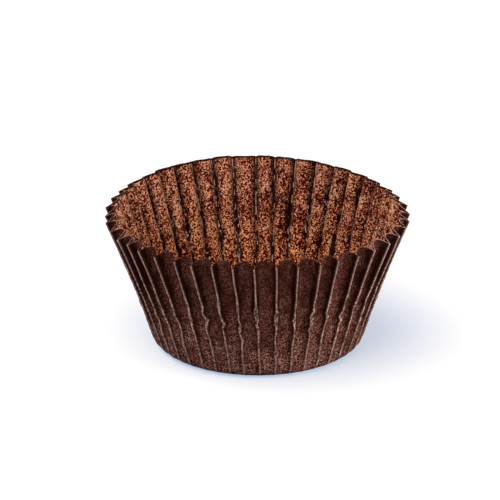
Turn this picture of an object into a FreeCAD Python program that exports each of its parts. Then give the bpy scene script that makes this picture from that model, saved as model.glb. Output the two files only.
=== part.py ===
import FreeCAD, Part
import math
import os

# A fluted paper baking cup, pressed from one round sheet of paper.
# Millimetres, +Z up. The origin is the centre of the base's underside, and a crest faces -Y.
# Radii, heights and depths are measured on the middle of the paper.

# Paper
paper_thickness = 0.1

# Flutes, the same from base to rim: sharp crests outside, rounded lobes inside
flute_count = 44
crest_width = 0.45
lobe_rounding = 0.35
lobe_steps = 2
rim_lobe_flat = 0.1

# Rim, whose edge dips at each crest
rim_radius = 37.45
rim_height = 34.3
rim_dip = 0.75
rim_flute_depth = 2.7

# Waist, halfway up the wall, above which the cup opens wider
waist_radius = 31.4
waist_height = 17.0
waist_flute_depth = 1.55

# Foot, where the wall meets the rounded corner
foot_flute_depth = 0.3
corner_radius = 3.7
corner_steps = 3

# Base, the flat round bottom
base_radius = 22.9
base_flute_depth = 0.06

half_pitch = math.pi / flute_count
corner_height = paper_thickness / 2 + corner_radius
rim_crest_height = rim_height - rim_dip
rim_flare = (rim_radius - waist_radius) / (rim_crest_height - waist_height)


def crest_edge(crest_radius):
    # Edge of the flat crest, seen from above, in the frame of the lobe beside it
    half_crest = crest_width / 2
    across = crest_radius * math.sin(half_pitch) - half_crest * math.cos(half_pitch)
    out = crest_radius * math.cos(half_pitch) + half_crest * math.sin(half_pitch)
    return across, out


def level(crest_radius, height, depth, facing):
    return {"crest": crest_radius, "height": height, "depth": depth, "facing": facing}


def corner_levels():
    # Rings around the rounded corner. The last one is where the straight wall leaves it.
    reach = math.hypot(waist_radius - base_radius, waist_height - corner_height)
    rise = math.atan2(waist_height - corner_height, waist_radius - base_radius)
    foot_angle = rise - math.acos(corner_radius / reach)
    rings = []
    for step in range(corner_steps + 1):
        share = step / corner_steps
        angle = -math.pi / 2 + share * (foot_angle + math.pi / 2)
        crest = base_radius + corner_radius * math.cos(angle)
        height = corner_height + corner_radius * math.sin(angle)
        depth = base_flute_depth + share * (foot_flute_depth - base_flute_depth)
        rings.append(level(crest, height, depth, angle))
    return rings


def wall_levels():
    # The waist, and a level ring at the height of the rim's lobes that the rim is cut from
    facing = -math.atan(rim_flare)
    gain = rim_flare * rim_dip
    return [
        level(waist_radius, waist_height, waist_flute_depth, facing),
        level(rim_radius + gain, rim_height, rim_flute_depth + gain, facing),
    ]


def flank_slope(top):
    # Steepness of the flanks, which leaves rim_lobe_flat between the rounded parts of a rim lobe.
    # It is the same at every height, so that each flank is a flat panel.
    across, _ = crest_edge(top["crest"])
    ratio = (across - rim_lobe_flat / 2) / top["depth"]
    reach = math.hypot(ratio, 1 - lobe_rounding)
    slope = math.atan2(1 - lobe_rounding, ratio) + math.asin(lobe_rounding / reach)
    return slope, ratio


def half_flute(ring, slope, ratio, side):
    # Section points of half a flute on one skin of the paper, seen from above:
    # along the lobe's rounding, from the end of its flat to the flank, then the edge of the crest.
    offset = side * paper_thickness / 2 * math.cos(ring["facing"])
    edge_across, edge_out = crest_edge(ring["crest"])
    lobe_out = edge_out - ring["depth"]
    bend = lobe_rounding * ring["depth"]
    centre_across = edge_across - ratio * ring["depth"]
    centre_out = lobe_out + bend
    points = []
    for step in range(lobe_steps + 1):
        turn = slope * step / lobe_steps
        across = centre_across + (bend - offset) * math.sin(turn)
        out = centre_out - (bend - offset) * math.cos(turn)
        points.append((across, out))
    mitre = offset / (1 + math.cos(slope + half_pitch))
    across = edge_across + mitre * (math.sin(half_pitch) - math.sin(slope))
    out = edge_out + mitre * (math.cos(half_pitch) + math.cos(slope))
    points.append((across, out))
    return points


def ring_points(ring, slope, ratio, side):
    # The same points placed at the ring's height, with their share of the flute's depth
    drop = side * paper_thickness / 2 * math.sin(ring["facing"])
    section = half_flute(ring, slope, ratio, side)
    lobe_out = section[0][1]
    depth = section[-1][1] - lobe_out
    shares = [(out - lobe_out) / depth for _, out in section]
    points = [FreeCAD.Vector(across, out, ring["height"] + drop) for across, out in section]
    return points, shares


def cut_rim(low, high, shares):
    # The rim's points slide down the wall's straight lines, by their share of the dip
    cut = []
    for low_point, high_point, share in zip(low, high, shares):
        fall = share * rim_dip / (high_point.z - low_point.z)
        cut.append(high_point + (low_point - high_point) * fall)
    return cut


def turned(point, index, mirrored):
    across = -point.x if mirrored else point.x
    radius = math.hypot(point.x, point.y)
    angle = math.atan2(across, point.y) + (2 * index + 1) * half_pitch
    return FreeCAD.Vector(radius * math.sin(angle), radius * math.cos(angle), point.z)


def full_ring(points):
    # Closed ring of points, each flute from its left crest edge over the lobe to its right one
    ring = []
    for index in range(flute_count):
        ring += [turned(point, index, True) for point in reversed(points)]
        ring += [turned(point, index, False) for point in points]
    return ring


def skin_rings(side):
    # All rings of points of one skin of the paper, from the base to the rim
    rings = corner_levels() + wall_levels()
    slope, ratio = flank_slope(rings[-1])
    placed = [ring_points(ring, slope, ratio, side) for ring in rings]
    points = [ring for ring, _ in placed]
    points[-1] = cut_rim(points[-2], points[-1], placed[-1][1])
    return [full_ring(ring) for ring in points]


def panels(lower, upper):
    # One flat panel between each pair of neighbouring points of two rings
    faces = []
    for index in range(len(lower)):
        corners = [lower[index - 1], lower[index], upper[index], upper[index - 1]]
        faces.append(Part.Face(Part.makePolygon(corners, True)))
    return faces


def edge_strip(inner, outer):
    # The cut edge of the paper, between the two skins
    faces = []
    for index in range(len(inner)):
        low = Part.makeLine(inner[index - 1], inner[index])
        high = Part.makeLine(outer[index - 1], outer[index])
        faces.append(Part.makeRuledSurface(low, high))
    return faces


def disc(ring):
    return Part.Face(Part.makePolygon(ring, True))


def paper_cup():
    outside = skin_rings(1)
    inside = skin_rings(-1)
    faces = [disc(outside[0]), disc(inside[0])]
    for rings in (outside, inside):
        for lower, upper in zip(rings, rings[1:]):
            faces += panels(lower, upper)
    faces += edge_strip(inside[-1], outside[-1])
    skin = Part.makeCompound(faces)
    skin.sewShape()
    cup = Part.Solid(skin.Shells[0])
    if cup.Volume < 0:
        cup.reverse()
    return cup


os.makedirs("parts", exist_ok=True)
paper_cup().exportStep("parts/paper_cup.step")
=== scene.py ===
import math

import bpy
import numpy as np
from mathutils import Matrix, Vector, noise


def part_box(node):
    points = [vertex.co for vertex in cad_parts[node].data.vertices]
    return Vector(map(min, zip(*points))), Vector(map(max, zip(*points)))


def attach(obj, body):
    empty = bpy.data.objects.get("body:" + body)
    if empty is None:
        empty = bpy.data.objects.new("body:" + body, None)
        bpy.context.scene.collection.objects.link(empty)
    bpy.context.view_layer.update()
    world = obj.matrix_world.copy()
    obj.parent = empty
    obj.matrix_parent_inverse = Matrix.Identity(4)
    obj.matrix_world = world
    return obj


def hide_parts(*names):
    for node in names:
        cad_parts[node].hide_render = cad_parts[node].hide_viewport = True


# A fluted paper baking cup in dark brown greaseproof paper, standing on a white table.
# Lengths are in metres in the scene, and in millimetres where the shape is worked out.

bl_info = {
    "name": "Fluted baking cup",
    "version": (1, 0, 0),
    "blender": (4, 5, 0),
    "location": "3D View > Sidebar > Baking cup",
    "description": "Builds a pleated paper baking cup and a plain white studio",
    "category": "Add Mesh",
}

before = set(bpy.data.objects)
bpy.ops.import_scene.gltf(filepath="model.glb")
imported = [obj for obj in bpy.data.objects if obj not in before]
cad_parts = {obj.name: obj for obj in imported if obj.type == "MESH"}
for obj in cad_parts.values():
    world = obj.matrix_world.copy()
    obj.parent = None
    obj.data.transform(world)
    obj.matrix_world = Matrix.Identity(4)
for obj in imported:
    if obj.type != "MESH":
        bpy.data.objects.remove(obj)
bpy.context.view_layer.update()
cup_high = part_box("paper_cup")[1]

MM = 0.001

# Linear colour of the darkest grain, of the painted shade in the folds beside the crests outside,
# in the grooves inside and where the cup meets the table, and of the dark line along the rim
BLACK_BROWN = (0.014, 0.0018, 0.0004, 1.0)


def colour_property(name, description, default):
    return bpy.props.FloatVectorProperty(
        name=name, description=description, subtype="COLOR", size=4,
        min=0.0, max=1.0, default=default + (1.0,))


def length_property(name, description, default):
    return bpy.props.FloatProperty(
        name=name, description=description, unit="LENGTH", min=0.0, default=default)


def share_property(name, description, default):
    return bpy.props.FloatProperty(
        name=name, description=description, subtype="FACTOR", min=0.0, max=1.0, default=default)


def level_property(name, description, default):
    return bpy.props.FloatProperty(name=name, description=description, min=0.0, default=default)


def srgb(red, green, blue):
    """A colour as it is seen on a screen, from 0 to 255, in the linear values of Blender."""
    linear = []
    for level in (red, green, blue):
        share = level / 255
        linear.append(share / 12.92 if share <= 0.04045 else ((share + 0.055) / 1.055) ** 2.4)
    return tuple(linear)


# Settings that a user would change

class CupSettings(bpy.types.PropertyGroup):
    flutes: bpy.props.IntProperty(
        name="Flutes", description="Number of pleats round the wall", min=12, max=80, default=44)
    rim_radius: length_property(
        "Rim radius", "From the axis to a crest at the rim", cup_high.x)
    height: length_property(
        "Height", "From the table to the highest part of the rim", cup_high.z + 0.2 * MM)
    waist_radius: length_property(
        "Waist radius", "From the axis to a crest halfway up the wall", 31.3 * MM)
    base_radius: length_property(
        "Base radius", "Radius of the flat part of the base", 22.9 * MM)
    corner_radius: length_property(
        "Corner radius", "Rounding between the base and the wall", 3.7 * MM)
    rim_depth: length_property(
        "Flute depth at the rim", "From a crest to the bottom of a lobe", 2.65 * MM)
    rim_dip: length_property(
        "Rim dip", "How much lower the rim is at a crest than at a lobe", 1.25 * MM)
    crest_width: length_property(
        "Crest width", "Width of the flat top of a crest", 0.2 * MM)
    paper: length_property(
        "Paper thickness", "Thickness of the sheet", 0.1 * MM)
    crush: share_property(
        "Crushing", "How much the wall is kinked, flattened and creased halfway up", 1.0)
    wobble: share_property(
        "Wobble", "How uneven the flutes are round the rim", 1.0)
    seed: bpy.props.IntProperty(
        name="Seed", description="Picks another pattern of kinks", min=0, default=7)
    # Outside, dark is painted near the rim and Outside, middle low down on the wall: painted light,
    # as if the table below lit the lower wall
    outside_dark: colour_property(
        "Outside, dark", "Brown of the hollows outside", srgb(90, 39, 26))
    outside_middle: colour_property(
        "Outside, middle", "Brown of the lower wall outside", srgb(102, 48, 35))
    outside_light: colour_property(
        "Outside, light", "Brown of the fibres outside", srgb(202, 150, 134))
    # Crest: the pale crests, partly rubbed paper and partly painted highlight, and the painted
    # glints in the grooves inside
    crest_pale: colour_property(
        "Crest", "Pale rubbed paper on the crests", srgb(250, 198, 182))
    inside_dark: colour_property(
        "Inside, dark", "Dark grain inside the cup", srgb(44, 0, 0))
    inside_warm: colour_property(
        "Inside, warm", "Middle brown inside the cup", srgb(150, 50, 14))
    # The bright grain inside is partly the paper's own and partly painted light through thin spots
    inside_light: colour_property(
        "Inside, light", "Bright grain inside the cup", srgb(255, 182, 122))
    # Painted sheen: the duller brown towards the rim inside stands for the paper's shine at a
    # glancing angle
    inside_rim: colour_property(
        "Inside, near the rim", "Duller brown towards the rim", srgb(144, 64, 46))
    # Painted highlight: the pale lines in the grooves inside, the pink of the painted sheen near
    # the rim inside, and the paler ends of the cut edge
    highlight_pale: colour_property(
        "Crease", "Rubbed paper in the creases inside and on the cut edge", srgb(255, 206, 184))


class StudioSettings(bpy.types.PropertyGroup):
    table: colour_property(
        "Table", "Colour of the light that the table throws back on the cup", (0.35, 0.35, 0.35))
    top: level_property(
        "Top light", "Brightness that the light above the near side gives to white paper", 0.8)
    left: level_property(
        "Left light", "Brightness that the low light on the left gives to white paper", 0.25)
    right: level_property(
        "Right light", "Brightness that the low light on the right gives to white paper", 0.66)
    room: level_property(
        "Room light", "Brightness of the light from all round", 0.35)
    elevation: bpy.props.FloatProperty(
        name="Camera elevation", description="How steeply the camera looks down",
        subtype="ANGLE", default=math.radians(22.18))
    distance: length_property(
        "Camera distance", "From the camera to the cup", 2.0)


# Shape of the folded sheet, all in millimetres

# Rows of points up the sheet: round the corner, up the crushed part, up to the rim, and at the rim
CORNER_ROWS = 9
CRUSHED_ROWS = 30
UPPER_ROWS = 13
CRUSHED_TOP = 24.0
RIM_BAND = 0.3

# Depth of the flutes, as shares of the depth at the rim
BASE_DEPTH = 0.02
FOOT_DEPTH = 0.11
WAIST_DEPTH = 0.57

# Points across half a flute: shares of half the crest's width, then shares of the way to the
# middle of the lobe. CREST_PALE is how much each of them takes of the crest's paleness, which
# is partly rubbed paper and partly painted highlight.
CREST_POINTS = np.array([0.0, 0.55, 1.0])
LOBE_POINTS = np.array([0.045, 0.11, 0.19, 0.29, 0.41, 0.56, 0.76, 1.0])
CREST_PALE = np.array([1.0, 1.0, 0.8, 0.06, 0, 0, 0, 0, 0, 0, 0])

# How pale the crests are, partly from rubbed paper and partly as painted highlight: all round the
# cup, and more round two directions, given in radians from the front towards the right, each with
# its strength. The extra paleness round the right front and the left front is painted highlight.
CREST_WEAR_AND_HIGHLIGHT = 0.82
CREST_HIGHLIGHT_MORE = ((0.95, 0.6), (5.3, 0.45))
CREST_HIGHLIGHT_SPREAD = 0.5

# How much wider a crest is where it is pressed flat, and where the flutes are shallower than a
# depth. How deep a pressed crest is dented, and how much its edges are rounded off, both as
# shares of the flute's depth. How flat it has to be before it is painted less pale, with less wear
# and less painted highlight, and how much less.
PRESSED_WIDER = 3.0
SHALLOW_WIDER, SHALLOW_DEPTH = 1.2, 1.2
PRESSED_DENT = 0.5
CREST_ROUNDING = 0.04
PRESSED_ENOUGH, PRESSED_LESS_PALE = 0.2, 0.8

# Roundness of the lobes at the rim, and what is added to it towards the foot. Larger is flatter.
LOBE_POWER, LOBE_POWER_MORE = 2.5, 1.2

# How far out of round the rim is, in millimetres, and how far its crests lean, in degrees: for
# each number of waves round the cup, the cosine part and the sine part
RIM_SWELL = ((0, 0.16, 0.0), (1, -0.35, -0.45), (2, -0.1, 0.2), (3, -0.6, -0.3))
RIM_LEAN = ((1, -0.8, -0.4), (2, -0.4, 0.3), (3, -0.3, 0.6))

# How far the crests lean on average, and how much single crests differ, in degrees
RIM_LEAN_MEAN, RIM_LEAN_SPREAD = 0.7, 0.4
FOOT_LEAN_MEAN, FOOT_LEAN_SPREAD = 1.1, 0.35

# How much single flutes differ at the rim: how far the middle of a lobe lies aside, as a share of
# the flute's width, and how far crests and lobes lie out and up, in millimetres
LOBE_ASIDE = 0.045
CREST_OUT, LOBE_OUT = 0.16, 0.12
CREST_UP, LOBE_UP = 0.08, 0.08

# How fast the swell, the rim's dip and its unevenness fade from the rim down to the foot, and how
# round the rim's arches are
OUT_FADE, DIP_FADE, UP_FADE = 1.5, 1.4, 3
ARCH_POWER = 1.3

# The crushed part of the wall, for each thing that is worst there: the height of its middle, and
# how far it spreads up and down, in millimetres
KINKS_CLOSE = (15.5, 8.5)
KINKS_LARGE = (15.5, 7.5)
CRESTS_PRESSED = (15.5, 7.0)
CRESTS_JAGGED = (15.0, 7.0)
WALL_CREASED = (14.0, 8.0)

# Kinks up a crest, in millimetres: the first one, a height above the last one, the least and the
# most between two, what is added where they aren't close, and how far they go sideways
FIRST_KINK, ABOVE_KINKS = 3.5, 35
KINK_GAP = (0.9, 2.3)
KINK_GAP_MORE = 3.5
KINK_SIZE, KINK_SIZE_MORE = 0.04, 0.2

# How flat a crest is pressed at a kink, where less than 0 is not at all: mean, spread and most
PRESSED_MEAN, PRESSED_SPREAD, PRESSED_MOST = -0.1, 0.5, 0.8

# Ragged edges of the crests: how far they go sideways, in millimetres, on a crest that is pressed
# quite flat, the share of that on one that isn't, and how much the flatness varies
JAGGED_SIDE, JAGGED_SHARE, JAGGED_FLAT = 0.07, 0.4, 0.35

# Creases in the wall: cells and waves for each millimetre, the width of a crease as a share of a
# cell, the level between creases, and the depth of both, in millimetres. How much of it there is
# far from the crushed part, and the heights from which it starts and is whole.
CREASE_CELLS, CREASE_WIDTH, CREASE_LEVEL, CREASE_DEPTH = 0.5, 0.35, 0.6, 0.12
WAVE_COUNT, WAVE_DEPTH = 0.35, 0.1
CREASED_ELSEWHERE = 0.2
CREASED_FROM, CREASED_WHOLE = 0.5, 3.5

# Loops on the near side, where a crest is pressed flat: crest, top, bottom and strength
NEAR_LOOPS = (
    (-5, 20.5, 17.5, 0.4), (-3, 18.0, 14.0, 0.45), (-2, 23.0, 21.0, 0.6), (-1, 22.5, 20.0, 0.5),
    (-1, 16.5, 13.5, 0.5), (0, 21.8, 17.0, 1.0), (0, 16.4, 12.4, 0.5), (1, 20.5, 15.4, 1.0),
    (1, 8.4, 6.2, 0.9), (3, 19.2, 14.2, 0.8), (4, 18.0, 15.6, 0.7), (5, 16.5, 13.5, 0.6),
)


def smooth(low, high, value):
    """0 below low, 1 above high, and a soft step between."""
    share = np.clip((value - low) / (high - low), 0, 1)
    return share * share * (3 - 2 * share)


def bell(centre, width, value):
    """1 at the centre, and less the farther the value is from it."""
    return np.exp(-((value - centre) / width) ** 2)


def waves(terms, turn):
    """The sum of some waves round the cup, in the direction turn."""
    return sum(cosine * np.cos(count * turn) + sine * np.sin(count * turn)
               for count, cosine, sine in terms)


class Wall:
    """The line of a crest, from the edge of the flat base to the rim."""

    waist_height = 17.0

    def __init__(self, cup):
        self.base = cup.base_radius / MM
        self.corner = cup.corner_radius / MM
        self.rim = cup.rim_radius / MM
        self.waist = cup.waist_radius / MM
        self.top = (cup.height - cup.rim_dip) / MM
        self.centre_height = self.corner + cup.paper / MM / 2
        across = self.waist - self.base
        up = self.waist_height - self.centre_height
        self.foot_angle = math.atan2(up, across) - math.acos(self.corner / math.hypot(across, up))
        self.foot_radius = self.base + self.corner * math.cos(self.foot_angle)
        self.foot_height = self.centre_height + self.corner * math.sin(self.foot_angle)

    def share(self, height):
        """The share of the way from the foot to the rim."""
        return (height - self.foot_height) / (self.top - self.foot_height)

    def rows(self):
        """Radius and height of each row."""
        angles = np.linspace(-math.pi / 2, self.foot_angle, CORNER_ROWS + 1)
        radius = self.base + self.corner * np.cos(angles)
        height = self.centre_height + self.corner * np.sin(angles)
        crushed = np.linspace(self.foot_height, CRUSHED_TOP, CRUSHED_ROWS + 1)[1:]
        upper = np.linspace(CRUSHED_TOP, self.top - RIM_BAND, UPPER_ROWS + 1)[1:]
        wall = np.concatenate([crushed, upper, [self.top]])
        return np.concatenate([radius, self.radius_at(wall)]), np.concatenate([height, wall])

    def radius_at(self, height):
        """A gentle curve through the foot, the waist and the rim."""
        share = self.share(height)
        middle = self.share(self.waist_height)
        straight = self.foot_radius + share * (self.rim - self.foot_radius)
        sag = self.foot_radius + middle * (self.rim - self.foot_radius) - self.waist
        return straight - sag * share * (1 - share) / (middle * (1 - middle))

    def depth_at(self, height):
        """Depth of the flutes as a share of their depth at the rim: almost none in the base."""
        low = BASE_DEPTH + (FOOT_DEPTH - BASE_DEPTH) * np.clip(height / self.foot_height, 0, 1)
        share = np.clip(self.share(height), 0, 1)
        middle = self.share(self.waist_height)
        line = FOOT_DEPTH + (1 - FOOT_DEPTH) * share
        bulge = WAIST_DEPTH - (FOOT_DEPTH + (1 - FOOT_DEPTH) * middle)
        upper = line + bulge * share * (1 - share) / (middle * (1 - middle))
        return np.where(share > 0, upper, low)


def crest_kinks(cup, heights):
    """For each row and crest: how far it is pushed sideways, and how flat it is pressed."""
    rng = np.random.default_rng(cup.seed)
    shift = np.zeros((len(heights), cup.flutes))
    flat = np.zeros_like(shift)
    for crest in range(cup.flutes):
        kinks = [0.0, FIRST_KINK]
        while kinks[-1] < ABOVE_KINKS:
            more = KINK_GAP_MORE * (1 - bell(*KINKS_CLOSE, kinks[-1]))
            kinks.append(kinks[-1] + rng.uniform(*KINK_GAP) + more)
        kinks = np.array(kinks)
        size = KINK_SIZE + KINK_SIZE_MORE * bell(*KINKS_LARGE, kinks)
        side = rng.normal(0, 1, len(kinks)) * size
        side[0] = 0
        shift[:, crest] = np.interp(heights, kinks, side)
        pressed = np.clip(rng.normal(PRESSED_MEAN, PRESSED_SPREAD, len(kinks)), 0, PRESSED_MOST)
        flat[:, crest] = np.interp(heights, kinks, pressed * bell(*CRESTS_PRESSED, kinks))
    for crest, top, bottom, strength in NEAR_LOOPS:
        middle, half = (top + bottom) / 2, (top - bottom) / 2
        loop = np.sqrt(np.clip(1 - ((heights - middle) / half) ** 2, 0, 1)) * strength
        index = crest % cup.flutes
        flat[:, index] = np.maximum(flat[:, index], loop)
    jagged = rng.normal(0, 1, (2,) + shift.shape) * bell(*CRESTS_JAGGED, heights)[:, None]
    shift += JAGGED_SIDE * jagged[0] * (JAGGED_SHARE + flat)
    flat = np.clip(flat * (1 + JAGGED_FLAT * jagged[1]), 0, 1)
    return shift * cup.crush, flat * cup.crush


def crest_angles(cup, share):
    """Angle of each crest at each row. The flutes are uneven, and lean over a little."""
    rng = np.random.default_rng(cup.seed + 1)
    turn = np.arange(cup.flutes) * 2 * math.pi / cup.flutes
    rim = RIM_LEAN_MEAN + waves(RIM_LEAN, turn) + rng.normal(0, RIM_LEAN_SPREAD, cup.flutes)
    foot = FOOT_LEAN_MEAN + rng.normal(0, FOOT_LEAN_SPREAD, cup.flutes)
    share = share[:, None]
    lean = rim * share + foot * (1 - share)
    return turn + np.radians(lean) * cup.wobble


def half_flutes(cup, depth, room, flat, power):
    """Points from the middle of each crest to the middle of the lobe beside it.

    room is the distance between the two. Returns how far across each point is, how deep, and how
    pale. Rows, flutes and points are the three directions of the arrays."""
    half_crest = cup.crest_width / MM / 2 * (1 + PRESSED_WIDER * flat)[..., None]
    half_crest = half_crest * (1 + SHALLOW_WIDER * (1 - smooth(0.0, SHALLOW_DEPTH, depth)))
    crest_across = half_crest * CREST_POINTS
    lobe_across = half_crest + (room[..., None] - half_crest) * LOBE_POINTS
    across = np.concatenate([crest_across, lobe_across], -1)
    dent = PRESSED_DENT * flat[..., None] * np.minimum(depth, 1.0) * (1 - CREST_POINTS)
    rounding = CREST_ROUNDING * depth * CREST_POINTS ** 2
    lobe_deep = depth * (1 - (1 - LOBE_POINTS) ** power)
    lobe_deep = np.broadcast_to(lobe_deep, lobe_across.shape)
    deep = np.concatenate([dent + rounding, lobe_deep], -1)
    pale = np.broadcast_to(CREST_PALE, across.shape).copy()
    pale[..., :2] -= PRESSED_LESS_PALE * np.clip(flat[..., None] - PRESSED_ENOUGH, 0, 1)
    return across, deep, pale


def folded_sheet(cup):
    """Grid of points on the middle of the paper, with what the paper looks like at each.

    Rows go up from the edge of the base to the rim, columns go round the cup. turn is a point's
    direction, out its distance from the axis, up its height, crest how pale it is, from rubbed
    paper and painted highlight, part its share of the flute's depth, and share its share of the way
    from the foot to the rim."""
    wall = Wall(cup)
    radius, height = wall.rows()
    share = np.clip(wall.share(height), 0, 1)
    shift, flat = crest_kinks(cup, height)
    angles = crest_angles(cup, share) + shift / radius[:, None]
    following = np.roll(angles, -1, 1)
    following[:, -1] += 2 * math.pi
    rng = np.random.default_rng(cup.seed + 2)
    uneven = rng.normal(0, 1, (5, cup.flutes)) * cup.wobble
    lobe_aside, crest_out, lobe_out, crest_up, lobe_up = uneven
    aside = (following - angles) * LOBE_ASIDE * lobe_aside * share[:, None]
    middle = (angles + following) / 2 + aside

    depth = (cup.rim_depth / MM * wall.depth_at(height))[:, None, None]
    power = (LOBE_POWER + LOBE_POWER_MORE * (1 - share) ** 2)[:, None, None]
    radius = radius[:, None]
    right = half_flutes(cup, depth, (middle - angles) * radius, flat, power)
    left = half_flutes(cup, depth, (following - middle) * radius, np.roll(flat, -1, 1), power)

    def joined(from_crest, to_crest):
        both = np.concatenate([from_crest, to_crest[..., -2:0:-1]], -1)
        return both.reshape(len(height), -1)

    part_right, part_left = right[1] / depth, left[1] / depth

    def round_cup(crest_values, lobe_values, fade):
        """Values of the crests and of the lobes, blended by depth and fading downwards."""
        amount = share[:, None, None] ** fade
        ahead = np.roll(crest_values, -1)
        first = crest_values[:, None] * (1 - part_right) + lobe_values[:, None] * part_right
        second = ahead[:, None] * (1 - part_left) + lobe_values[:, None] * part_left
        return joined(first * amount, second * amount)

    turn_right = angles[..., None] + right[0] / radius[..., None]
    turn_left = following[..., None] - left[0] / radius[..., None]
    turn = joined(turn_right, turn_left)
    part = joined(part_right, part_left)
    lightened = CREST_WEAR_AND_HIGHLIGHT + sum(
        strength * bell(side, CREST_HIGHLIGHT_SPREAD, turn) for side, strength in CREST_HIGHLIGHT_MORE)
    swell = waves(RIM_SWELL, turn) * cup.wobble * share[:, None] ** OUT_FADE
    bulge = round_cup(CREST_OUT * crest_out, LOBE_OUT * lobe_out, OUT_FADE)
    dip = cup.rim_dip / MM * share[:, None] ** DIP_FADE
    arch = 1 - (1 - np.clip(part, 0, 1)) ** ARCH_POWER
    rough = round_cup(CREST_UP * crest_up, LOBE_UP * lobe_up, UP_FADE)
    return wall, {
        "turn": turn,
        "out": radius - joined(right[1], left[1]) + swell + bulge,
        "up": height[:, None] + dip * arch + rough,
        "crest": joined(right[2], left[2]) * lightened,
        "part": part,
        "share": np.broadcast_to(share[:, None], turn.shape),
    }


def crumple(grid, cup):
    """Small creases in the wall: how far each point is pushed outwards, in millimetres."""
    push = []
    for out, turn, up in zip(grid["out"].flat, grid["turn"].flat, grid["up"].flat):
        spot = Vector((out * math.sin(turn), -out * math.cos(turn), up))
        near, far = noise.voronoi(spot * CREASE_CELLS)[0][:2]
        crease = min(far - near, CREASE_WIDTH) / CREASE_WIDTH - CREASE_LEVEL
        push.append(WAVE_DEPTH * noise.noise(spot * WAVE_COUNT) + CREASE_DEPTH * crease)
    push = np.array(push).reshape(grid["out"].shape)
    strength = CREASED_ELSEWHERE + (1 - CREASED_ELSEWHERE) * bell(*WALL_CREASED, grid["up"])
    return push * strength * smooth(CREASED_FROM, CREASED_WHOLE, grid["up"]) * cup.crush


def grid_points(grid):
    turn = grid["turn"]
    return np.stack([grid["out"] * np.sin(turn), -grid["out"] * np.cos(turn), grid["up"]], -1)


def grid_normals(points):
    """Normals that point out of the cup, from the neighbours of each point."""
    around = np.roll(points, -1, 1) - np.roll(points, 1, 1)
    along = np.gradient(points, axis=0)
    normals = np.cross(around, along)
    return normals / np.linalg.norm(normals, axis=-1, keepdims=True)


# Rings of points in the flat base, as shares of its radius
BASE_RINGS = (0.985, 0.9, 0.7, 0.45, 0.2)

# Material slots, of which the first two also number the skins
OUTSIDE, INSIDE, EDGE = 0, 1, 2


def paper_cup_mesh(cup):
    """A closed thin mesh: outer skin, inner skin, the cut edge at the rim and the flat base."""
    wall, grid = folded_sheet(cup)
    points = grid_points(grid)
    points = points + grid_normals(points) * crumple(grid, cup)[..., None]
    normals = grid_normals(points)
    normals[0] = (0, 0, -1)
    half = cup.paper / MM / 2
    outside = points + normals * half
    inside = points - normals * half
    outside[0, :, 2] = 0.0
    inside[0, :, 2] = 2 * half
    rows, count = grid["out"].shape
    numbers = np.arange(2 * rows * count).reshape(2, rows, count)
    around = np.roll(numbers, -1, 2)

    def quads(*corners):
        return np.stack([corner.reshape(-1) for corner in corners], -1)

    skins = [
        quads(numbers[0, :-1], around[0, :-1], around[0, 1:], numbers[0, 1:]),
        quads(numbers[1, :-1], numbers[1, 1:], around[1, 1:], around[1, :-1]),
        quads(numbers[0, -1], around[0, -1], around[1, -1], numbers[1, -1]),
    ]
    faces = [tuple(face) for part in skins for face in part.tolist()]
    slots = [slot for slot, part in zip((OUTSIDE, INSIDE, EDGE), skins) for _ in part]

    # The base: rings of one point for each flute, that shrink towards the middle
    base = []
    for slot, level in ((OUTSIDE, 0.0), (INSIDE, 2 * half)):
        ring = numbers[slot, 0].tolist()
        for size in BASE_RINGS:
            radius = size * wall.base
            start = 2 * rows * count + len(base)
            step = len(ring) // cup.flutes
            for index in range(cup.flutes):
                turn = grid["turn"][0, index * (count // cup.flutes)]
                base.append((radius * math.sin(turn), -radius * math.cos(turn), level))
                low, high = start + index, start + (index + 1) % cup.flutes
                edge = [ring[(index * step + part) % len(ring)] for part in range(step + 1)]
                face = [low] + edge + [high]
                faces.append(tuple(face if slot == INSIDE else reversed(face)))
                slots.append(slot)
            ring = list(range(start, start + cup.flutes))
        faces.append(tuple(ring if slot == INSIDE else reversed(ring)))
        slots.append(slot)
    vertices = np.concatenate([outside.reshape(-1, 3), inside.reshape(-1, 3), np.array(base)]) * MM

    # What the finishes read at each point, with the value that all of the base has
    values = {}
    grid["rise"] = points[..., 2]
    for name, in_base in (("crest", 0), ("part", 1), ("share", 0), ("rise", 2)):
        one = grid[name].reshape(-1)
        values[name] = np.concatenate([one, one, np.full(len(base), in_base)]).astype(np.float32)
    return vertices, faces, slots, values


# Shader maths

class Socket:
    """A node socket that can be used in a Python expression."""

    def __init__(self, tree, socket):
        self.tree = tree
        self.socket = socket

    def math(self, operation, first, second):
        return self.tree.node("ShaderNodeMath", {"operation": operation}, (first, second))

    def __add__(self, other):
        return self.math("ADD", self, other)

    __radd__ = __add__

    def __mul__(self, other):
        return self.math("MULTIPLY", self, other)

    __rmul__ = __mul__

    def __sub__(self, other):
        return self.math("SUBTRACT", self, other)

    def __rsub__(self, other):
        return self.math("SUBTRACT", other, self)

    def larger(self, other):
        return self.math("MAXIMUM", self, other)


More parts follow.
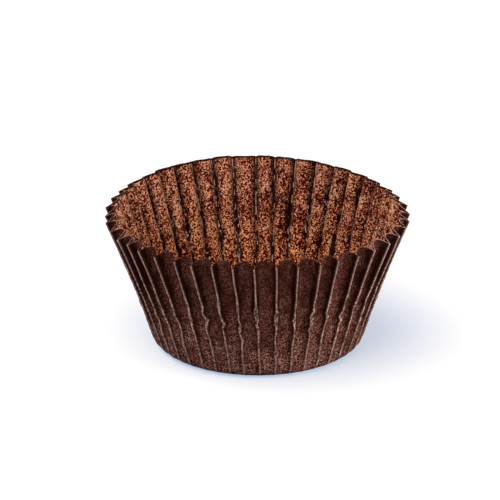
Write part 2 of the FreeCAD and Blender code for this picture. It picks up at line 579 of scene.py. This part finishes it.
class Finish:
    """The node tree of one material or of the world."""

    def __init__(self, owner):
        owner.use_nodes = True
        self.nodes = owner.node_tree.nodes
        self.links = owner.node_tree.links
        self.nodes.clear()

    def node(self, kind, settings=None, sockets=(), output=0):
        """Adds a node. Its settings are set first, then the values or links of its sockets."""
        made = self.nodes.new(kind)
        for name, value in (settings or {}).items():
            setattr(made, name, value)
        pairs = sockets.items() if isinstance(sockets, dict) else enumerate(sockets)
        for name, value in pairs:
            if isinstance(value, Socket):
                self.links.new(value.socket, made.inputs[name])
            else:
                made.inputs[name].default_value = value
        return Socket(self, made.outputs[output]) if len(made.outputs) else made

    def attribute(self, name):
        return self.node("ShaderNodeAttribute", {"attribute_name": name}, output="Fac")

    def grain(self, position, scale, detail, roughness, distortion=0.0):
        """Soft noise."""
        return self.node("ShaderNodeTexNoise", {}, {
            "Vector": position, "Scale": scale, "Detail": detail, "Roughness": roughness,
            "Distortion": distortion})

    def flecks(self, position, scale):
        """Small cells, each with its own brightness."""
        return self.node("ShaderNodeTexVoronoi", {}, {"Vector": position, "Scale": scale}, "Color")

    def step(self, value, low, high):
        """0 below low, 1 above high, and a soft step between."""
        return self.node("ShaderNodeMapRange", {"interpolation_type": "SMOOTHSTEP"}, {
            "Value": value, "From Min": low, "From Max": high})

    def mix(self, share, first, second):
        return self.node("ShaderNodeMix", {"data_type": "RGBA"}, {0: share, 6: first, 7: second}, 2)

    def position(self, stretch=(1.0, 1.0, 1.0)):
        place = self.node("ShaderNodeTexCoord", output="Object")
        return self.node("ShaderNodeMapping", {}, {"Vector": place, "Scale": stretch})

    def camera_ray(self):
        return self.node("ShaderNodeLightPath", output="Is Camera Ray")

    def finish(self, surface):
        self.node("ShaderNodeOutputMaterial", {}, {"Surface": surface})


# Soft reddish shine of the paper's fibres at a glancing angle: its colour and its strength
SHEEN_COLOUR = (1.0, 0.62, 0.56, 1.0)
OUTSIDE_SHEEN, INSIDE_SHEEN, EDGE_SHEEN = 0.01, 0.1, 0.0


def paper_relief(tree):
    """Fine roughness and larger unevenness of the paper."""
    place = tree.position()
    return tree.grain(place, 1800.0, 3.0, 0.6) * 0.6 + tree.grain(place, 420.0, 2.0, 0.5) * 0.8


def paper_finish(name, colour, sheen):
    """Matt paper with a soft sheen. colour takes the tree and gives the colour it makes in it."""
    material = bpy.data.materials.new(name)
    tree = Finish(material)
    normal = tree.node("ShaderNodeBump", {}, {
        "Strength": 0.6, "Distance": 0.08 * MM, "Height": paper_relief(tree)})
    shader = tree.node("ShaderNodeBsdfPrincipled", {}, {
        "Base Color": colour(tree), "Roughness": 0.7, "Normal": normal, "Specular IOR Level": 0.02,
        "Sheen Weight": sheen, "Sheen Roughness": 0.4, "Sheen Tint": SHEEN_COLOUR})
    tree.finish(shader)
    return material


def outside_colour(cup):
    def build(tree):
        height = tree.attribute("share")
        place = tree.position()
        low = 1 - tree.step(height, 0.0, 0.7)
        # Painted light: the wall is darker near the rim and lighter low down, as if lit by the
        # table below
        brown = tree.mix(low * 0.9, tuple(cup.outside_dark), tuple(cup.outside_middle))

        # Dark grain and patches, and pale fibres, which are stronger low down
        fine = tree.grain(tree.position((1.0, 1.0, 1.5)), 3600.0, 2.0, 0.6)
        fine = fine + (tree.flecks(place, 4200.0) - 0.5) * 0.7
        patches = tree.grain(tree.position((1.0, 1.0, 0.5)), 380.0, 3.0, 0.6)
        dark_grain = (1 - tree.step(fine, 0.38, 0.5)) * (0.45 + low * 0.5)
        dark_patches = (1 - tree.step(patches, 0.36, 0.54)) * (0.6 - low * 0.2)
        brown = tree.mix(dark_grain.larger(dark_patches), brown, BLACK_BROWN)
        fibres = tree.step(fine, 0.54, 0.68) * (0.35 + low * 0.55)
        fibres = fibres * (0.5 + tree.step(patches, 0.4, 0.6) * 0.7)
        brown = tree.mix(fibres, brown, tuple(cup.outside_light))

        # Shade beside the crests, with streaky borders
        streaks = tree.grain(tree.position((1.0, 1.0, 0.3)), 420.0, 3.0, 0.6)
        reach = tree.attribute("part") + (0.5 - streaks) * 1.1
        fold = (1 - tree.step(reach, 0.35, 1.0)) * (0.94 - low * 0.4)
        brown = tree.mix(fold, brown, BLACK_BROWN)

        # Pale crests, partly rubbed paper and partly painted highlight: speckled in the lower part,
        # more even in the upper, fainter at the foot
        wear_and_highlight = tree.step(tree.grain(place, 1700.0, 3.0, 0.65), 0.44, 0.56)
        upper = tree.step(height, 0.5, 0.8)
        line = tree.attribute("crest") * (0.2 + upper * 0.14 + wear_and_highlight * (0.8 - upper * 0.5))
        line = line * (0.5 + tree.step(height, 0.05, 0.4) * 0.5)
        brown = tree.mix(line, brown, tuple(cup.crest_pale))

        # Painted contact shadow where the cup meets the table
        foot = 1 - tree.step(tree.attribute("rise"), 0.5, 1.3)
        return tree.mix(foot * 0.8, brown, BLACK_BROWN)
    return build


def inside_colour(cup):
    dark, warm, light = tuple(cup.inside_dark), tuple(cup.inside_warm), tuple(cup.inside_light)
    crease = tuple(cup.highlight_pale)
    pinker = tuple(0.6 * first + 0.4 * second for first, second in zip(light, crease))

    def build(tree):
        height = tree.attribute("share")
        part = tree.attribute("part")
        place = tree.position()

        # Grain of several sizes: dots, streaks down the wall, and patches. The bright grain is
        # partly the paper's own and partly painted light, as if light shone through thin spots in
        # the paper
        fine = tree.grain(place, 2700.0, 2.0, 0.6, 0.3)
        patches = tree.grain(tree.position((1.0, 1.0, 0.6)), 260.0, 2.0, 0.5)
        streaks = tree.grain(tree.position((1.0, 1.0, 0.2)), 560.0, 2.0, 0.5)
        level = fine * 1.4 - 0.2 + (tree.flecks(place, 3400.0) - 0.5) * 1.1
        level = level + (patches - 0.5) * 0.5 + (streaks - 0.5) * 0.5
        level = level + (tree.grain(place, 90.0, 1.0, 0.5) - 0.5) * 0.3
        golden = tree.step(level, 0.36, 0.6)
        bright = tree.step(level, 0.56, 0.86)

        # Golden low down, and duller and pinker towards the rim, where the dull pink tone is
        # painted sheen, the paper's shine at a glancing angle
        speckled = tree.mix(bright, tree.mix(golden, dark, warm), light)
        dull = tree.mix(bright * 0.7, tree.mix(golden, dark, tuple(cup.inside_rim)), pinker)
        upper = tree.step(height + (patches - 0.5) * 0.8, 0.2, 0.8)
        body = tree.mix(upper * 0.8, speckled, dull)

        # Painted shade: dark in the grooves behind the crests and darker towards them, spread wider
        # where the wall is crushed, with painted glints there
        crushed = tree.step(height, 0.0, 0.2) * (1 - tree.step(height, 0.55, 0.95))
        shade_spread = tree.grain(tree.position((1.0, 1.0, 0.35)), 330.0, 2.0, 0.6)
        reach = part + (0.5 - shade_spread) * (0.8 + crushed * 2.4) + (1 - crushed) * 0.1
        groove = (1 - tree.step(reach, 0.2, 0.66)) * tree.step(tree.attribute("rise"), 0.3, 5.0)
        body = tree.mix((1 - tree.step(part, 0.3, 0.95)) * 0.3, body, BLACK_BROWN)
        body = tree.mix(groove * 0.97, body, BLACK_BROWN)
        thin = tree.position((1.0, 1.0, 0.45))
        glints = tree.step(tree.flecks(thin, 2900.0), 0.8, 0.9) * groove * (0.1 + crushed * 0.9)
        body = tree.mix(glints, body, tuple(cup.crest_pale))

        # Painted highlight along the grooves: dashes low down, and whole lines near the rim
        dashes = tree.step(tree.grain(thin, 900.0, 3.0, 0.6), 0.5, 0.56)
        dashes = dashes.larger(tree.step(height + patches * 0.5, 1.1, 1.2))
        line = tree.step(tree.attribute("crest"), 0.4, 0.75) * dashes
        line = line * (0.4 + tree.step(height, 0.4, 0.8) * 0.6)
        body = tree.mix(line, body, crease)

        # A dark line along the rim
        return tree.mix(tree.step(height, 0.98, 0.988) * 0.95, body, BLACK_BROWN)
    return build


def edge_colour(cup):
    def build(tree):
        place = tree.position()
        fine = tree.grain(place, 1500.0, 2.0, 0.5)
        brown = tree.mix(tree.step(fine, 0.4, 0.6), BLACK_BROWN, tuple(cup.outside_middle))

        # Painted highlight: paler at the right end and less at the left end. Places are in metres.
        across = tree.node("ShaderNodeSeparateXYZ", {}, {"Vector": place}, "X")
        lightened = tree.step(across, 0.024, 0.03) * 0.75 + tree.step(-1 * across, 0.027, 0.033) * 0.4
        return tree.mix(lightened, brown, tuple(cup.highlight_pale))
    return build


# Operators

class CUP_OT_paper_cup(bpy.types.Operator):
    """Fold the paper cup and give it its brown greaseproof finish"""

    bl_idname = "baking_cup.paper_cup"
    bl_label = "Paper cup"

    def execute(self, context):
        cup = context.scene.baking_cup
        vertices, faces, slots, values = paper_cup_mesh(cup)
        mesh = bpy.data.meshes.new("folded_paper_cup")
        mesh.from_pydata(vertices.tolist(), [], faces)
        mesh.polygons.foreach_set("material_index", slots)
        mesh.polygons.foreach_set("use_smooth", [True] * len(faces))
        for name, numbers in values.items():
            mesh.attributes.new(name, "FLOAT", "POINT").data.foreach_set("value", numbers)
        mesh.update()
        for name, colour, sheen in (
                ("brown_paper_outside", outside_colour(cup), OUTSIDE_SHEEN),
                ("brown_paper_inside", inside_colour(cup), INSIDE_SHEEN),
                ("brown_paper_edge", edge_colour(cup), EDGE_SHEEN)):
            mesh.materials.append(paper_finish(name, colour, sheen))
        piece = bpy.data.objects.new("folded_paper_cup", mesh)
        context.scene.collection.objects.link(piece)
        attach(piece, "root")
        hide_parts("paper_cup")
        return {"FINISHED"}


def aimed(place, target):
    """The placing of a lamp or camera that stands at place and looks at target."""
    turn =(target - place).to_track_quat("-Z", "Y").to_matrix().to_4x4()
    return Matrix.Translation(place) @ turn


# The middle of the cup, where the lamps point, in metres
LAMP_TARGET = (0, 0, 0.015)


def add_lamp(name, place, size, level):
    """A round soft light, size metres wide. White paper that faces it from the cup gets level."""
    place = Vector(place)
    radius = size / 2
    spread = radius ** 2 / (radius ** 2 + place.length ** 2)
    brightness = level / spread
    light = bpy.data.lights.new(name, "AREA")
    light.shape = "DISK"
    light.size = size
    light.energy = brightness * math.pi * (math.pi * radius ** 2)
    lamp = bpy.data.objects.new(name, light)
    lamp.matrix_world = aimed(place, Vector(LAMP_TARGET))
    bpy.context.scene.collection.objects.link(lamp)


# How the photograph frames the cup: its width in pixels, the pixels for each millimetre, and
# where the point of the axis 16 mm above the table lies in it
PICTURE_WIDTH = 500
PIXELS_PER_MM = 4.044
AXIS_HEIGHT = 16.0
AXIS_RIGHT = 257.8 - PICTURE_WIDTH / 2
AXIS_DOWN = 278.45 - PICTURE_WIDTH / 2

# White of the table for the camera: the part that the lamps light, and the part that glows by
# itself, so that the shadow stays faint and a little blue
LIT_WHITE = (0.62, 0.54, 0.39, 1.0)
GLOWING_WHITE = (0.39, 0.47, 0.625, 1.0)

# Colour of the room all round
PLAIN_WHITE = (1.0, 1.0, 1.0, 1.0)

# How far the table reaches from the cup on each side, in metres, and how far it lies below the
# cup's base: a hair, so that the two never share a plane
TABLE_REACH = 4.0
TABLE_DROP = 0.02 * MM

# The camera's sensor in millimetres, and how far it sees in metres
SENSOR_WIDTH = 36.0
SIGHT = 50.0


class CUP_OT_studio(bpy.types.Operator):
    """Set up the white table, the soft lights and the camera"""

    bl_idname = "baking_cup.studio"
    bl_label = "Studio"

    def execute(self, context):
        studio = context.scene.baking_cup_studio
        self.add_table(context, studio)
        self.add_room(context, studio)

        # Where each lamp stands and how wide it is, in metres, and its level
        add_lamp("top_light", (-0.18, -0.2, 0.7), 0.8, studio.top)
        add_lamp("left_light", (-0.62, 0.4, 0.4), 0.7, studio.left)
        add_lamp("right_light", (0.8, -0.3, 0.12), 0.5, studio.right)
        self.add_camera(context, studio)
        context.scene.view_settings.view_transform = "Standard"
        return {"FINISHED"}

    def add_table(self, context, studio):
        mesh = bpy.data.meshes.new("table_top")
        corners = [(x * TABLE_REACH, y * TABLE_REACH, -TABLE_DROP)
                   for x, y in ((-1, -1), (1, -1), (1, 1), (-1, 1))]
        mesh.from_pydata(corners, [], [(0, 1, 2, 3)])
        table = bpy.data.objects.new("table_top", mesh)
        context.scene.collection.objects.link(table)
        material = bpy.data.materials.new("white_table")
        tree = Finish(material)
        seen = tree.camera_ray()
        lit = tree.node("ShaderNodeBsdfDiffuse", {}, {
            "Color": tree.mix(seen, tuple(studio.table), LIT_WHITE)})
        glow = tree.node("ShaderNodeEmission", {}, {"Color": GLOWING_WHITE, "Strength": seen})
        tree.finish(tree.node("ShaderNodeAddShader", {}, (lit, glow)))
        mesh.materials.append(material)

    def add_room(self, context, studio):
        world = bpy.data.worlds.new("white_room")
        context.scene.world = world
        tree = Finish(world)
        seen = tree.camera_ray()
        for ray in ("Is Glossy Ray", "Is Transmission Ray"):
            seen = seen.larger(tree.node("ShaderNodeLightPath", output=ray))
        strength = seen + (1 - seen) * studio.room
        light = tree.node("ShaderNodeBackground", {}, {"Color": PLAIN_WHITE, "Strength": strength})
        tree.node("ShaderNodeOutputWorld", {}, {"Surface": light})

    def add_camera(self, context, studio):
        lens = bpy.data.cameras.new("camera")
        lens.sensor_width = SENSOR_WIDTH
        lens.lens = PIXELS_PER_MM / MM * studio.distance / PICTURE_WIDTH * SENSOR_WIDTH
        lens.clip_end = SIGHT
        camera = bpy.data.objects.new("camera", lens)
        rise = studio.elevation
        back = Vector((0, -math.cos(rise), math.sin(rise)))
        up = Vector((0, math.sin(rise), math.cos(rise)))
        right = Vector((1, 0, 0))
        aim = Vector((0, 0, AXIS_HEIGHT)) + (up * AXIS_DOWN - right * AXIS_RIGHT) / PIXELS_PER_MM
        aim = aim * MM
        camera.matrix_world = aimed(aim + back * studio.distance, aim)
        context.scene.collection.objects.link(camera)
        context.scene.camera = camera


class CUP_PT_panel(bpy.types.Panel):
    """Sizes and colours of the cup, and the buttons that build it"""

    bl_idname = "CUP_PT_panel"
    bl_label = "Baking cup"
    bl_space_type = "VIEW_3D"
    bl_region_type = "UI"
    bl_category = "Baking cup"

    def draw(self, context):
        layout = self.layout
        layout.operator(CUP_OT_paper_cup.bl_idname)
        for name in CupSettings.__annotations__:
            layout.prop(context.scene.baking_cup, name)
        layout.operator(CUP_OT_studio.bl_idname)
        for name in StudioSettings.__annotations__:
            layout.prop(context.scene.baking_cup_studio, name)


CLASSES = (CupSettings, StudioSettings, CUP_OT_paper_cup, CUP_OT_studio, CUP_PT_panel)


def register():
    for cls in CLASSES:
        bpy.utils.register_class(cls)
    bpy.types.Scene.baking_cup = bpy.props.PointerProperty(type=CupSettings)
    bpy.types.Scene.baking_cup_studio = bpy.props.PointerProperty(type=StudioSettings)


def unregister():
    del bpy.types.Scene.baking_cup_studio
    del bpy.types.Scene.baking_cup
    for cls in reversed(CLASSES):
        bpy.utils.unregister_class(cls)


def main():
    register()
    bpy.ops.baking_cup.paper_cup()
    bpy.ops.baking_cup.studio()


if __name__ == "__main__":
    main()
